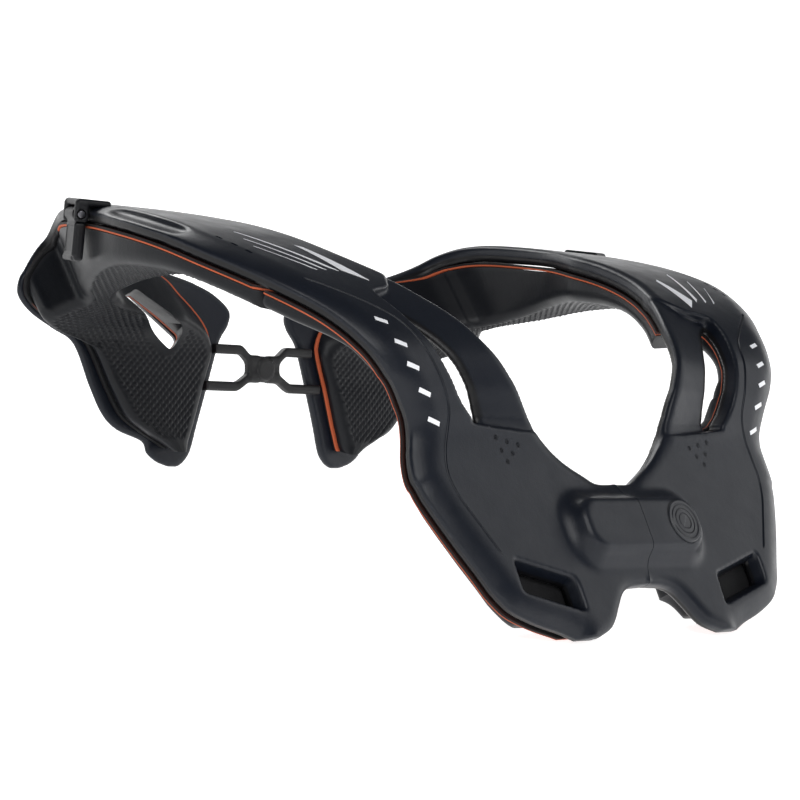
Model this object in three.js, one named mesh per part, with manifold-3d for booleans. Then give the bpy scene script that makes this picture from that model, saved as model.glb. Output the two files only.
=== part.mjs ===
// Motocross neck brace: two moulded half frames that meet at a latch block on the chest,
// foam pads on an orange layer under them, a rubber coupling between the back wings and
// a hinged strap clip on each back arm.
// Millimetres, +Z up, the wearer faces -Y, the origin is bottom centre.
import * as THREE from 'three';
import { mergeVertices } from 'three/addons/utils/BufferGeometryUtils.js';
import Module from 'manifold-3d';

const wasm = await Module();
wasm.setup();
const { lerp, smoothstep, clamp } = THREE.MathUtils;

// Driving dimensions
const halfWidth = 154;
const frontToBack = 251.5;
const frameHeight = 114;
const shellWall = 3;
const rimDepth = 6.5;
const lipDepth = 7.5;
const clearance = 0.3;
const linerThickness = 1.6;
const frontPadThickness = 8;
const armDrop = 5;
const wingRim = 3.4;
const blockHalfWidth = 32.6;
const blockRaise = 7;
const blockBevel = 4;
const blockCorner = 8;
const buttonRadius = 8.6;
const buttonTravel = 2;
const buttonDepth = 6.5;
const buttonProud = 0.4;
const roundSides = 28;
const couplingThickness = 4;
const couplingBar = 4;
const couplingSpread = 7.7;
const couplingCore = 5.5;
const couplingGrip = 4;
const couplingDisc = 4.6;
const leverWidth = 10.4;
const leverHeight = 17;
const leverThickness = 3;
const pinRadius = 1.5;
const pinClearance = 0.1;
const splitGap = 0.8;

// Every shell, liner and pad lies on one bent sheet. This is its side view, chest tip to back tip.
const sheetProfile = [
  { back: 0.000, up: 0.018 }, { back: 0.052, up: 0.162 }, { back: 0.107, up: 0.303 },
  { back: 0.163, up: 0.447 }, { back: 0.191, up: 0.544 }, { back: 0.207, up: 0.640 },
  { back: 0.225, up: 0.737 }, { back: 0.258, up: 0.825 }, { back: 0.322, up: 0.904 },
  { back: 0.421, up: 0.965 }, { back: 0.549, up: 1.000 }, { back: 0.688, up: 0.991 },
  { back: 0.827, up: 0.952 }, { back: 0.922, up: 0.908 }, { back: 0.974, up: 0.842 },
  { back: 1.000, up: 0.737 }, { back: 0.992, up: 0.596 }, { back: 0.970, up: 0.439 },
  { back: 0.946, up: 0.246 }, { back: 0.926, up: 0.070 }, { back: 0.918, up: 0.000 },
];

// The inner face of the back pad in the same side view, where it leaves the sheet's own curve
const padProfile = [
  { at: 0.320, back: 0.335, up: 0.763 }, { at: 0.380, back: 0.413, up: 0.822 },
  { at: 0.450, back: 0.514, up: 0.858 }, { at: 0.530, back: 0.628, up: 0.833 },
  { at: 0.600, back: 0.722, up: 0.772 }, { at: 0.670, back: 0.795, up: 0.690 },
  { at: 0.740, back: 0.852, up: 0.620 }, { at: 0.800, back: 0.895, up: 0.555 },
  { at: 0.850, back: 0.924, up: 0.475 }, { at: 0.890, back: 0.916, up: 0.370 },
  { at: 0.930, back: 0.898, up: 0.250 }, { at: 0.990, back: 0.873, up: 0.050 },
];

// Half frame outline: at is the share of the sheet's length, inner and outer are shares of halfWidth
const halfOutline = [
  { at: 0.006, inner: 0.235, outer: 0.300 }, { at: 0.013, inner: 0.186, outer: 0.344 },
  { at: 0.022, inner: 0.158, outer: 0.418 }, { at: 0.034, inner: 0.132, outer: 0.487 },
  { at: 0.046, inner: 0.102, outer: 0.520 }, { at: 0.052, inner: 0.060, outer: 0.532 },
  { at: 0.056, inner: 0.000, outer: 0.539 }, { at: 0.073, inner: 0.000, outer: 0.562 },
  { at: 0.103, inner: 0.000, outer: 0.606 }, { at: 0.138, inner: 0.000, outer: 0.651 },
  { at: 0.150, inner: 0.000, outer: 0.664 }, { at: 0.154, inner: 0.058, outer: 0.668 },
  { at: 0.162, inner: 0.104, outer: 0.672 }, { at: 0.176, inner: 0.169, outer: 0.668 },
  { at: 0.196, inner: 0.232, outer: 0.656 }, { at: 0.212, inner: 0.255, outer: 0.664 },
  { at: 0.236, inner: 0.287, outer: 0.695 }, { at: 0.262, inner: 0.325, outer: 0.734 },
  { at: 0.292, inner: 0.365, outer: 0.773 }, { at: 0.328, inner: 0.407, outer: 0.825 },
  { at: 0.357, inner: 0.452, outer: 0.877 }, { at: 0.390, inner: 0.502, outer: 0.929 },
  { at: 0.434, inner: 0.554, outer: 0.981 }, { at: 0.486, inner: 0.584, outer: 1.000 },
  { at: 0.530, inner: 0.602, outer: 0.997 }, { at: 0.566, inner: 0.645, outer: 0.978 },
  { at: 0.603, inner: 0.688, outer: 0.944 }, { at: 0.648, inner: 0.704, outer: 0.898 },
  { at: 0.698, inner: 0.695, outer: 0.840 }, { at: 0.728, inner: 0.669, outer: 0.797 },
  { at: 0.748, inner: 0.636, outer: 0.775 }, { at: 0.768, inner: 0.590, outer: 0.763 },
  { at: 0.785, inner: 0.500, outer: 0.776 }, { at: 0.798, inner: 0.380, outer: 0.790 },
  { at: 0.809, inner: 0.250, outer: 0.803 }, { at: 0.820, inner: 0.165, outer: 0.819 },
  { at: 0.836, inner: 0.108, outer: 0.819 }, { at: 0.852, inner: 0.112, outer: 0.780 },
  { at: 0.866, inner: 0.140, outer: 0.712 }, { at: 0.880, inner: 0.156, outer: 0.643 },
  { at: 0.920, inner: 0.190, outer: 0.590 }, { at: 0.948, inner: 0.214, outer: 0.545 },
  { at: 0.963, inner: 0.226, outer: 0.494 }, { at: 0.974, inner: 0.234, outer: 0.409 },
  { at: 0.985, inner: 0.245, outer: 0.393 }, { at: 0.994, inner: 0.264, outer: 0.360 },
  { at: 0.999, inner: 0.285, outer: 0.318 },
];

// The window between chest ledge and shoulder step, in which the inner arm lies lower
const armWindow = [
  { at: 0.199, outer: 0.225 }, { at: 0.206, outer: 0.446 }, { at: 0.212, outer: 0.472 },
  { at: 0.228, outer: 0.508 }, { at: 0.243, outer: 0.529 }, { at: 0.262, outer: 0.553 },
  { at: 0.296, outer: 0.589 }, { at: 0.328, outer: 0.619 }, { at: 0.347, outer: 0.622 },
  { at: 0.357, outer: 0.558 }, { at: 0.372, outer: 0.526 }, { at: 0.392, outer: 0.494 },
];

// The inner arm: its outer edge and how far its top lies below the sheet, as a share of armDrop
const innerArm = [
  { at: 0.186, outer: 0.420, drop: 0.4 }, { at: 0.199, outer: 0.430, drop: 0.5 },
  { at: 0.212, outer: 0.432, drop: 1 }, { at: 0.236, outer: 0.447, drop: 1 },
  { at: 0.262, outer: 0.471, drop: 1 }, { at: 0.292, outer: 0.510, drop: 1 },
  { at: 0.328, outer: 0.580, drop: 1 }, { at: 0.347, outer: 0.640, drop: 0.9 },
  { at: 0.372, outer: 0.650, drop: 0.6 }, { at: 0.400, outer: 0.640, drop: 0.4 },
];

// Edges of the pad on the back corner and the wing, where it stands well inside the frame
const wingPad = [
  { at: 0.748, inner: 0.644, outer: 0.767 }, { at: 0.768, inner: 0.600, outer: 0.753 },
  { at: 0.785, inner: 0.510, outer: 0.765 }, { at: 0.798, inner: 0.425, outer: 0.778 },
  { at: 0.809, inner: 0.360, outer: 0.790 }, { at: 0.820, inner: 0.321, outer: 0.802 },
  { at: 0.836, inner: 0.270, outer: 0.798 }, { at: 0.852, inner: 0.228, outer: 0.755 },
  { at: 0.866, inner: 0.208, outer: 0.668 }, { at: 0.880, inner: 0.208, outer: 0.606 },
  { at: 0.920, inner: 0.243, outer: 0.545 }, { at: 0.948, inner: 0.266, outer: 0.493 },
  { at: 0.963, inner: 0.280, outer: 0.430 }, { at: 0.974, inner: 0.290, outer: 0.372 },
  { at: 0.980, inner: 0.298, outer: 0.342 },
];

// The crest wall beside the oval gap runs between these stations
const crestFrom = 0.206;
const crestTo = 0.347;

// Slots: corners by share of halfWidth and of the sheet's length
const ventSlot = [[0.458, 0.0820], [0.266, 0.0615], [0.262, 0.0290], [0.458, 0.0500]];
const wingSlot = [[0.558, 0.835], [0.506, 0.822], [0.335, 0.866], [0.375, 0.882]];
const wingSlotSlant = [-0.55, 0.15];
const slotCorner = 2.4;

// The slanting cut between front and back layers: share of halfWidth, share of the sheet's length
const splitLine = [[0.30, 0.3292], [1.10, 0.4019]];

// Where the layers, the latch block, the coupling and the strap clip sit, as shares of the sheet's length
const linerStart = 0.012;
const frontPadStart = 0.032;
const frontEnd = 0.410;
const backStart = 0.330;
const backEnd = 0.980;
const blockFrom = 0.0825;
const blockTo = 0.1305;
const buttonAt = 0.1065;
const buttonAcross = 0.147;
const couplingAt = 0.896;
const leverAt = 0.620;

const shellMaterial = new THREE.MeshStandardMaterial({ color: 0x25272d, roughness: 0.48, metalness: 0 });
const padMaterial = new THREE.MeshStandardMaterial({ color: 0x141519, roughness: 0.85, metalness: 0 });
const linerMaterial = new THREE.MeshStandardMaterial({ color: 0xc8623a, roughness: 0.8, metalness: 0 });
const rubberMaterial = new THREE.MeshStandardMaterial({ color: 0x17181b, roughness: 0.7, metalness: 0 });
const pinMaterial = new THREE.MeshStandardMaterial({ color: 0x3a3c40, roughness: 0.35, metalness: 0.8 });

// The bent sheet
const sidePoint = (row) => new THREE.Vector3(0, row.back * frontToBack, row.up * frameHeight);
const sheet = new THREE.CatmullRomCurve3(sheetProfile.map(sidePoint), false, 'catmullrom', 0.5);
sheet.arcLengthDivisions = 2000;
const sheetLength = sheet.getLength();
const padSide = new THREE.CatmullRomCurve3(padProfile.map(sidePoint), false, 'catmullrom', 0.5);

function onSheet(x, at, height) {
  const point = sheet.getPointAt(clamp(at, 0, 1));
  const along = sheet.getTangentAt(clamp(at, 0, 1));
  return new THREE.Vector3(x, point.y - along.z * height, point.z + along.y * height);
}

// Reads one column of a table at any station, by straight lines between its rows
function column(rows, name, at) {
  const last = rows.length - 1;
  if (at <= rows[0].at) return rows[0][name];
  if (at >= rows[last].at) return rows[last][name];
  const next = rows.findIndex((row) => row.at > at);
  const a = rows[next - 1];
  const b = rows[next];
  return lerp(a[name], b[name], (at - a.at) / (b.at - a.at));
}

const innerEdge = (at) => Math.max(column(halfOutline, 'inner', at) * halfWidth, clearance / 2);
const outerEdge = (at) => column(halfOutline, 'outer', at) * halfWidth;
const windowEdge = (at) => column(armWindow, 'outer', at) * halfWidth;

// Stations shared by every band, so that neighbours bend at the same places
const stationStep = 0.006;
const allStations = [...halfOutline, ...armWindow].map((row) => row.at)
  .sort((a, b) => a - b)
  .reduce((kept, at) => (at - (kept.at(-1) ?? -1) >= stationStep - 1e-6 ? [...kept, at] : kept), []);

function stations(from, to) {
  const half = stationStep / 2;
  return [from, ...allStations.filter((at) => at > from + half && at < to - half), to];
}

// Solids from geometry and back
function toSolid(geometry) {
  const plain = geometry.clone();
  plain.deleteAttribute('normal');
  plain.deleteAttribute('uv');
  const merged = mergeVertices(plain, 1e-4);
  const mesh = new wasm.Mesh({
    numProp: 3,
    vertProperties: new Float32Array(merged.attributes.position.array),
    triVerts: new Uint32Array(merged.index.array),
  });
  return new wasm.Manifold(mesh);
}

function toGeometry(solid) {
  const mesh = solid.getMesh();
  const geometry = new THREE.BufferGeometry();
  geometry.setAttribute('position', new THREE.BufferAttribute(new Float32Array(mesh.vertProperties), 3));
  geometry.setIndex(new THREE.BufferAttribute(new Uint32Array(mesh.triVerts), 1));
  return geometry;
}

// Turns a body's faces outward if its volume comes out negative
function outward(geometry) {
  const p = geometry.attributes.position;
  const index = geometry.index.array;
  const [a, b, c] = [new THREE.Vector3(), new THREE.Vector3(), new THREE.Vector3()];
  let volume = 0;
  for (let i = 0; i < index.length; i += 3) {
    a.fromBufferAttribute(p, index[i]);
    b.fromBufferAttribute(p, index[i + 1]);
    c.fromBufferAttribute(p, index[i + 2]);
    volume += a.dot(b.cross(c));
  }
  if (volume < 0) geometry.setIndex(Array.from(index).reverse());
  return geometry;
}

// Skins rings of equal count into one closed body; outlines give the flat shapes of the end caps
function skin(rings, outlines) {
  const count = rings[0].length;
  const points = rings.flat().flatMap((p) => [p.x, p.y, p.z]);
  const faces = [];
  for (let r = 0; r < rings.length - 1; r += 1) {
    for (let i = 0; i < count; i += 1) {
      const a = r * count + i;
      const b = r * count + (i + 1) % count;
      faces.push(a, b, b + count, a, b + count, a + count);
    }
  }
  const lastRing = (rings.length - 1) * count;
  const capFaces = (outline) => THREE.ShapeUtils.triangulateShape(outline, [])
    .map((face) => (THREE.ShapeUtils.isClockWise(outline) ? face.reverse() : face));
  capFaces(outlines[0]).forEach(([a, b, c]) => faces.push(c, b, a));
  capFaces(outlines[1]).forEach(([a, b, c]) => faces.push(lastRing + a, lastRing + b, lastRing + c));
  const geometry = new THREE.BufferGeometry();
  geometry.setAttribute('position', new THREE.Float32BufferAttribute(points, 3));
  geometry.setIndex(faces);
  return toSolid(outward(geometry));
}

// A band along the sheet: section(at) lists flat [x, height] pairs for one station
function band(ats, section) {
  const flats = ats.map((at) => section(at));
  const rings = flats.map((flat, i) => flat.map(([x, height]) => onSheet(x, ats[i], height)));
  const caps = [flats[0], flats[flats.length - 1]].map((flat) => flat.map(([x, h]) => new THREE.Vector2(x, h)));
  return skin(rings, caps);
}

// The frame's depth below the sheet: full on chest and arms, shallow on the wings
const wingFrom = 0.768;
const wingTo = 0.82;
const rimAt = (at) => lerp(rimDepth, wingRim, smoothstep(at, wingFrom, wingTo));
const lipAt = (at) => rimAt(at) + lipDepth - rimDepth;

// A moulded channel: rolled edges, and a lip inside each edge that stands on the liner
const edgeRoll = 12;
const edgeFall = 3.6;
const rollFall = 0.8;
const innerTurn = 4;
const innerFall = 1.6;
const lipInset = 3;
const lipWidth = 2.4;

function channel(at, inner, outer, innerTop, outerTop) {
  const width = outer - inner;
  const roll = Math.min(edgeRoll, width * 0.42);
  const turn = Math.min(innerTurn, width * 0.12);
  const inset = Math.min(lipInset, width * 0.1);
  const lip = inset + Math.min(lipWidth, width * 0.1);
  const rim = -rimAt(at);
  const bottom = -lipAt(at);
  return [
    [inner + inset, bottom], [inner + inset, rim], [inner, rim],
    [inner, Math.max(innerTop - innerFall, rim + rollFall)], [inner + turn, innerTop],
    [outer - roll, outerTop], [outer - roll * 0.4, outerTop - rollFall],
    [outer, Math.max(outerTop - edgeFall, rim + rollFall)], [outer - inset, rim], [outer - inset, bottom],
    [outer - lip, bottom], [outer - lip, outerTop - shellWall], [inner + lip, innerTop - shellWall],
    [inner + lip, bottom],
  ];
}

// A flat outline on the sheet, carried through it between two heights, straight out or slanting: the
// outline is true at the height slantFrom and moves by slant [x, s] for each millimetre above it
const slantFrom = -14;

function plug(outline, top, bottom, slant = [0, 0]) {
  const rings = [top, bottom].map((height) => outline.map((p) => {
    const rise = height - slantFrom;
    return onSheet(p.x + slant[0] * rise, (p.y + slant[1] * rise) / sheetLength, height);
  }));
  return skin(rings, [outline, outline]);
}

const flatPoint = ([x, at]) => new THREE.Vector2(x * halfWidth, at * sheetLength);

// A slot through the sheet with rounded corners
function slotCutter(corners, radius, top, bottom, slant) {
  const flat = corners.map(flatPoint);
  const outline = flat.flatMap((corner, i) => {
    const before = flat[(i + flat.length - 1) % flat.length].clone().sub(corner).setLength(radius);
    const after = flat[(i + 1) % flat.length].clone().sub(corner).setLength(radius);
    return new THREE.QuadraticBezierCurve(corner.clone().add(before), corner, corner.clone().add(after)).getPoints(3);
  });
  return plug(outline, top, bottom, slant);
}

// Puts an object on the sheet: its X stays, its Y runs up the sheet, its Z stands out of it
function placeOnSheet(x, at, height) {
  const place = new THREE.Object3D();
  const along = sheet.getTangentAt(at);
  const out = new THREE.Vector3(0, -along.z, along.y);
  place.position.copy(onSheet(x, at, height));
  place.quaternion.setFromRotationMatrix(new THREE.Matrix4().makeBasis(new THREE.Vector3(1, 0, 0), along, out));
  return place;
}

function placedSolid(geometry, place) {
  const copy = geometry.clone();
  place.updateMatrix();
  copy.applyMatrix4(place.matrix);
  return toSolid(copy);
}

// Latch block: each half frame carries half of it, raised from the chest plate
const blockAt = (blockFrom + blockTo) / 2;
const blockLength = (blockTo - blockFrom) * sheetLength;

function latchHalf() {
  const base = 2 - rimDepth;
  const bevel = 3;
  const half = blockLength / 2;
  const straight = blockHalfWidth - blockCorner;
  const shape = new THREE.Shape();
  shape.moveTo(-blockHalfWidth, -half);
  shape.lineTo(straight, -half);
  shape.quadraticCurveTo(blockHalfWidth, -half, blockHalfWidth, blockCorner - half);
  shape.lineTo(blockHalfWidth, half - blockCorner);
  shape.quadraticCurveTo(blockHalfWidth, half, straight, half);
  shape.lineTo(-blockHalfWidth, half);
  const block = new THREE.ExtrudeGeometry(shape, {
    depth: blockRaise - base - bevel,
    curveSegments: 4,
    bevelEnabled: true,
    bevelThickness: bevel,
    bevelSize: blockBevel,
    bevelSegments: 2,
  });
  const place = placeOnSheet(0, blockAt, base);
  const keep = new THREE.BoxGeometry(4 * blockHalfWidth, 4 * blockLength, blockRaise - base);
  keep.translate(2 * blockHalfWidth + clearance / 2, 0, (blockRaise - base) / 2);
  return placedSolid(block, place).intersect(placedSolid(keep, place));
}

// A round plug into the latch block's face: the release button, or the bore it slides in
function roundPlug(radius, top, bottom) {
  const rod = new THREE.CylinderGeometry(radius, radius, top - bottom, roundSides);
  rod.rotateX(Math.PI / 2);
  rod.translate(0, 0, (top + bottom) / 2);
  return placedSolid(rod, placeOnSheet(buttonAcross * halfWidth, buttonAt, 0));
}

// Rubber coupling: a middle block with a disc, and four bent bars that reach into the wings' edges
const couplingBase = -shellWall - clearance - couplingThickness;
const barReach = (side) => innerEdge(couplingAt + side * couplingSpread / sheetLength) + couplingGrip;

function couplingBarShape(sideX, sideY) {
  const half = couplingBar / 2;
  const steps = 5;
  const reach = barReach(sideY);
  const middle = (x) => {
    const share = smoothstep(x, couplingCore + 1, reach * 0.5);
    return lerp(couplingCore - half, couplingSpread, share);
  };
  const xs = Array.from({ length: steps + 1 }, (_, i) => lerp(3, reach, i / steps));
  const edge = (x, sign) => {
    const rise = (middle(x + 0.1) - middle(x - 0.1)) / 0.2;
    return new THREE.Vector2(x * sideX, (middle(x) + sign * half * Math.hypot(1, rise)) * sideY);
  };
  return new THREE.Shape([...xs.map((x) => edge(x, 1)), ...xs.reverse().map((x) => edge(x, -1))]);
}

function couplingSolid() {
  const place = placeOnSheet(0, couplingAt, couplingBase);
  const core = new THREE.BoxGeometry(2 * couplingCore + 6, 2 * couplingCore, couplingThickness);
  core.translate(0, 0, couplingThickness / 2);
  const disc = new THREE.CylinderGeometry(couplingDisc, couplingDisc, couplingThickness + 2, roundSides);
  disc.rotateX(Math.PI / 2);
  disc.translate(0, 0, couplingThickness / 2);
  let solid = placedSolid(core, place).add(placedSolid(disc, place));
  for (const [x, y] of [[1, 1], [-1, 1], [1, -1], [-1, -1]]) {
    const bar = new THREE.ExtrudeGeometry(couplingBarShape(x, y), { depth: couplingThickness, bevelEnabled: false });
    solid = solid.add(placedSolid(bar, place));
  }
  return solid;
}

// Room for the coupling's bar ends at the wing's edge
function couplingPocket() {
  const width = couplingBar + 2 * clearance;
  const boxes = [-1, 1].map((side) => {
    const reach = barReach(side) + clearance;
    const box = new THREE.BoxGeometry(reach, width, couplingThickness + 2 * clearance);
    box.translate(reach / 2, side * couplingSpread, couplingThickness / 2);
    return placedSolid(box, placeOnSheet(0, couplingAt, couplingBase));
  });
  return boxes[0].add(boxes[1]);
}

// Half frame: plate, lowered inner arm, crest wall beside the oval gap, and its half of the latch block
function halfFrame() {
  const last = halfOutline[halfOutline.length - 1].at;
  const plate = band(stations(halfOutline[0].at, last), (at) => (
    channel(at, innerEdge(at), outerEdge(at), 0, 0)
  ));
  const opening = band(stations(armWindow[0].at, armWindow[armWindow.length - 1].at), (at) => [
    [innerEdge(at) - 12, -25], [innerEdge(at) - 12, 25], [windowEdge(at), 25], [windowEdge(at), -25],
  ]);
  const crestWall = band(stations(crestFrom, crestTo), (at) => [
    [windowEdge(at), -lipDepth], [windowEdge(at), -1.2], [windowEdge(at) + 1.2, 0],
    [windowEdge(at) + shellWall, 0], [windowEdge(at) + shellWall, -lipDepth],
  ]);
  const arm = band(stations(innerArm[0].at, innerArm[innerArm.length - 1].at), (at) => {
    const drop = column(innerArm, 'drop', at) * armDrop;
    return channel(at, innerEdge(at), column(innerArm, 'outer', at) * halfWidth, -drop * 0.5, -drop);
  });
  return plate.subtract(opening).add(crestWall).add(arm).add(latchHalf())
    .subtract(slotCutter(ventSlot, slotCorner, 20, -8))
    .subtract(slotCutter(wingSlot, slotCorner, 20, -20, wingSlotSlant))
    .subtract(couplingPocket());
}

// How far each layer stands in from the frame's edges on the chest and on the arms, and the liner's
// border around the pad on the wing
const layerInset = { liner: { chest: 0.4, arm: 0.4 }, pad: { chest: 9, arm: 1.2 } };
const linerBorder = 1.5;
const chestTo = 0.30;
const armFrom = 0.35;
const chestInner = 18.5;
const chestBorder = 8;

function inset(at, layer) {
  return lerp(layerInset[layer].chest, layerInset[layer].arm, smoothstep(at, chestTo, armFrom));
}

function layerEdges(at, layer, isFront) {
  if (at >= wingPad[0].at) {
    const border = layer === 'liner' ? linerBorder : 0;
    return [column(wingPad, 'inner', at) * halfWidth - border, column(wingPad, 'outer', at) * halfWidth + border];
  }
  const outer = outerEdge(at) - inset(at, layer);
  if (!isFront) return [innerEdge(at) + inset(at, layer), outer];
  const inward = inset(at, layer) * 0.4;
  if (at < armWindow[1].at) return [Math.max(innerEdge(at) + chestBorder, chestInner) + inward, outer];
  return [windowEdge(Math.min(at, crestTo)) + 1 + inward, outer];
}

// What lies behind, or in front of, the slanting cut
function splitOff(isFront) {
  const shift = (isFront ? -splitGap : splitGap) / (2 * sheetLength);
  const far = isFront ? 0.47 : 0.25;
  const [a, b] = splitLine;
  const corners = [[a[0], a[1] + shift], [b[0], b[1] + shift], [b[0], far], [a[0], far]];
  return plug(corners.map(flatPoint), 30, -45);
}

const linerTop = (at) => -lipAt(at) - clearance;
const padTop = (at) => linerTop(at) - linerThickness - clearance;

function liner(ats, isFront) {
  return band(ats, (at) => {
    const [inner, outer] = layerEdges(at, 'liner', isFront);
    const [top, bottom] = [linerTop(at), linerTop(at) - linerThickness];
    return [[inner, bottom], [inner, top], [outer, top], [outer, bottom]];
  }).subtract(splitOff(isFront));
}

function frontPad(ats) {
  const slope = 4;
  return band(ats, (at) => {
    const [inner, outer] = layerEdges(at, 'pad', true);
    const top = padTop(at);
    const bottom = top - frontPadThickness;
    return [
      [inner + slope, bottom], [inner + slope * 0.3, bottom + slope], [inner, top],
      [outer, top], [outer - slope * 0.3, bottom + slope], [outer - slope, bottom],
    ];
  }).subtract(splitOff(true));
}

// The point of the pad's inner curve that faces one station of the sheet
function padFace(at) {
  const next = Math.max(1, padProfile.findIndex((row) => row.at >= at));
  const [a, b] = [padProfile[next - 1], padProfile[next]];
  return padSide.getPoint((next - 1 + (at - a.at) / (b.at - a.at)) / (padProfile.length - 1));
}

// The back pad fills the space from the liner down to its own inner curve
function backPad(ats) {
  const rings = ats.map((at) => {
    const [inner, outer] = layerEdges(at, 'pad', false);
    const face = padFace(at);
    const roof = onSheet(0, at, padTop(at));
    const wall = roof.clone().lerp(face, 0.6);
    const bevel = Math.min(lerp(3, 5, smoothstep(at, wingFrom, wingTo)), 0.3 * (outer - inner));
    const rows = [
      [inner + bevel, face], [inner, wall], [inner, roof], [outer, roof], [outer, wall], [outer - bevel, face],
    ];
    return rows.map(([x, point]) => new THREE.Vector3(x, point.y, point.z));
  });
  const depths = [-10, -6, 0, 0, -6, -10];
  const cap = (ring) => ring.map((point, i) => new THREE.Vector2(point.x, depths[i]));
  return skin(rings, [cap(rings[0]), cap(rings[rings.length - 1])]).subtract(splitOff(false));
}

// Strap clip on the back arm's outer rim: a base let into the rim, a pin, and a lever that swings out.
// In its frame X points out of the rim, Y runs along it and Z stands up.
const plateTop = 1;
const plateBottom = -1.6;
const plateReach = 8;
const earWidth = 2.5;
const barrelRadius = pinRadius + 1.2;
const earRadius = pinRadius + 1.4;
const pinOut = earRadius + 0.2;
const pinDrop = plateBottom - 0.4 - barrelRadius;
const leverGap = 0.6;
const clipHalf = leverWidth / 2 + earWidth;

function clipFrame() {
  const edge = (at) => onSheet(outerEdge(at), at, 0);
  const along = edge(leverAt + 0.02).sub(edge(leverAt - 0.02)).normalize();
  const up = onSheet(0, leverAt, 1).sub(onSheet(0, leverAt, 0));
  const out = new THREE.Vector3().crossVectors(along, up).normalize();
  const place = new THREE.Object3D();
  place.position.copy(edge(leverAt));
  place.quaternion.setFromRotationMatrix(new THREE.Matrix4().makeBasis(out, along, up.crossVectors(out, along)));
  return place;
}

const clipPlace = clipFrame();

function clipBox([x0, x1], [y0, y1], [z0, z1], grow) {
  const box = new THREE.BoxGeometry(x1 - x0 + 2 * grow, y1 - y0 + 2 * grow, z1 - z0 + 2 * grow);
  box.translate((x0 + x1) / 2, (y0 + y1) / 2, (z0 + z1) / 2);
  return placedSolid(box, clipPlace);
}

function clipRod(radius, length) {
  const rod = new THREE.CylinderGeometry(radius, radius, length, 12);
  rod.translate(pinOut, 0, 0);
  rod.applyMatrix4(new THREE.Matrix4().makeTranslation(0, 0, pinDrop));
  return placedSolid(rod, clipPlace);
}

function clipBase(grow) {
  const plate = clipBox([-plateReach, pinOut + earRadius], [-clipHalf, clipHalf], [plateBottom, plateTop], grow);
  const ears = [-clipHalf, clipHalf - earWidth].map((y) => (
    clipBox([pinOut - earRadius, pinOut + earRadius], [y, y + earWidth], [pinDrop - earRadius, plateTop - 1], grow)
  ));
  return plate.add(ears[0]).add(ears[1]);
}

function clipLever(grow) {
  const half = leverWidth / 2 - clearance;
  const tip = pinDrop - leverHeight;
  const out = leverGap + leverThickness;
  const rivet = new THREE.CylinderGeometry(2, 2, 1.6, 12);
  rivet.rotateZ(Math.PI / 2);
  rivet.translate(out, 0, tip + 6);
  return clipRod(barrelRadius + grow, 2 * (half + grow))
    .add(clipBox([leverGap, out], [-half, half], [tip, pinDrop], grow))
    .add(clipBox([leverGap, out + 1.6], [-half, half], [tip, tip + 2.2], grow))
    .add(placedSolid(rivet, clipPlace));
}

// Mirrors a right-hand solid to the left side
function mirrored(solid) {
  const geometry = toGeometry(solid);
  geometry.applyMatrix4(new THREE.Matrix4().makeScale(-1, 1, 1));
  geometry.setIndex(Array.from(geometry.index.array).reverse());
  return toSolid(geometry);
}

function named(name, solid, material) {
  const mesh = new THREE.Mesh(toGeometry(solid.simplify(0.02)), material);
  mesh.name = name;
  return mesh;
}

const brace = new THREE.Group();
const room = clipBase(clearance).add(clipLever(clearance));
const plainFrame = halfFrame().subtract(room);
const buttonTop = blockRaise + buttonProud;
const boreBottom = buttonTop - buttonDepth - buttonTravel - clearance;
const bore = roundPlug(buttonRadius + clearance, buttonTop + 2, boreBottom);
const slotThrough = slotCutter(wingSlot, slotCorner, 20, -32, wingSlotSlant);
const pinHole = clipRod(pinRadius + pinClearance, 4 * clipHalf);
const frontLinerAts = stations(linerStart, frontEnd);
const frontPadAts = stations(frontPadStart, frontEnd);
const backAts = stations(backStart, backEnd);
const sides = [
  { side: 'right', turn: (solid) => solid, frame: plainFrame.subtract(bore) },
  { side: 'left', turn: mirrored, frame: plainFrame },
];
for (const { side, turn, frame } of sides) {
  const put = (name, solid, material) => brace.add(named(`${name}_${side}`, turn(solid), material));
  put('half_frame', frame, shellMaterial);
  put('front_liner', liner(frontLinerAts, true), linerMaterial);
  put('back_liner', liner(backAts, false).subtract(slotThrough), linerMaterial);
  put('front_pad', frontPad(frontPadAts), padMaterial);
  put('back_pad', backPad(backAts).subtract(slotThrough), padMaterial);
  put('clip_base', clipBase(0).subtract(pinHole), shellMaterial);
  put('clip_lever', clipLever(0).subtract(pinHole), shellMaterial);
  put('clip_pin', clipRod(pinRadius, 2 * clipHalf), pinMaterial);
}
brace.add(named('rear_coupling', couplingSolid(), rubberMaterial));
brace.add(named('release_button', roundPlug(buttonRadius, buttonTop, buttonTop - buttonDepth), shellMaterial));

const box = new THREE.Box3().setFromObject(brace);
brace.position.set(0, -(box.min.y + box.max.y) / 2, -box.min.z);

export default brace;
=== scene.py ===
# %% [markdown]
# # A motocross neck brace, piece by piece
# The brace is two moulded half frames that meet at a latch block on the chest. Foam pads hang under
# them on a thin orange layer, a rubber coupling ties the wings at the back, and a hinged clip sits
# on each back arm. The CAD frame is loaded first, so that every piece can be put where it belongs.

# %% Load the frame
import math
import bpy
import numpy as np
import openvdb
from mathutils import Matrix, Vector


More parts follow.
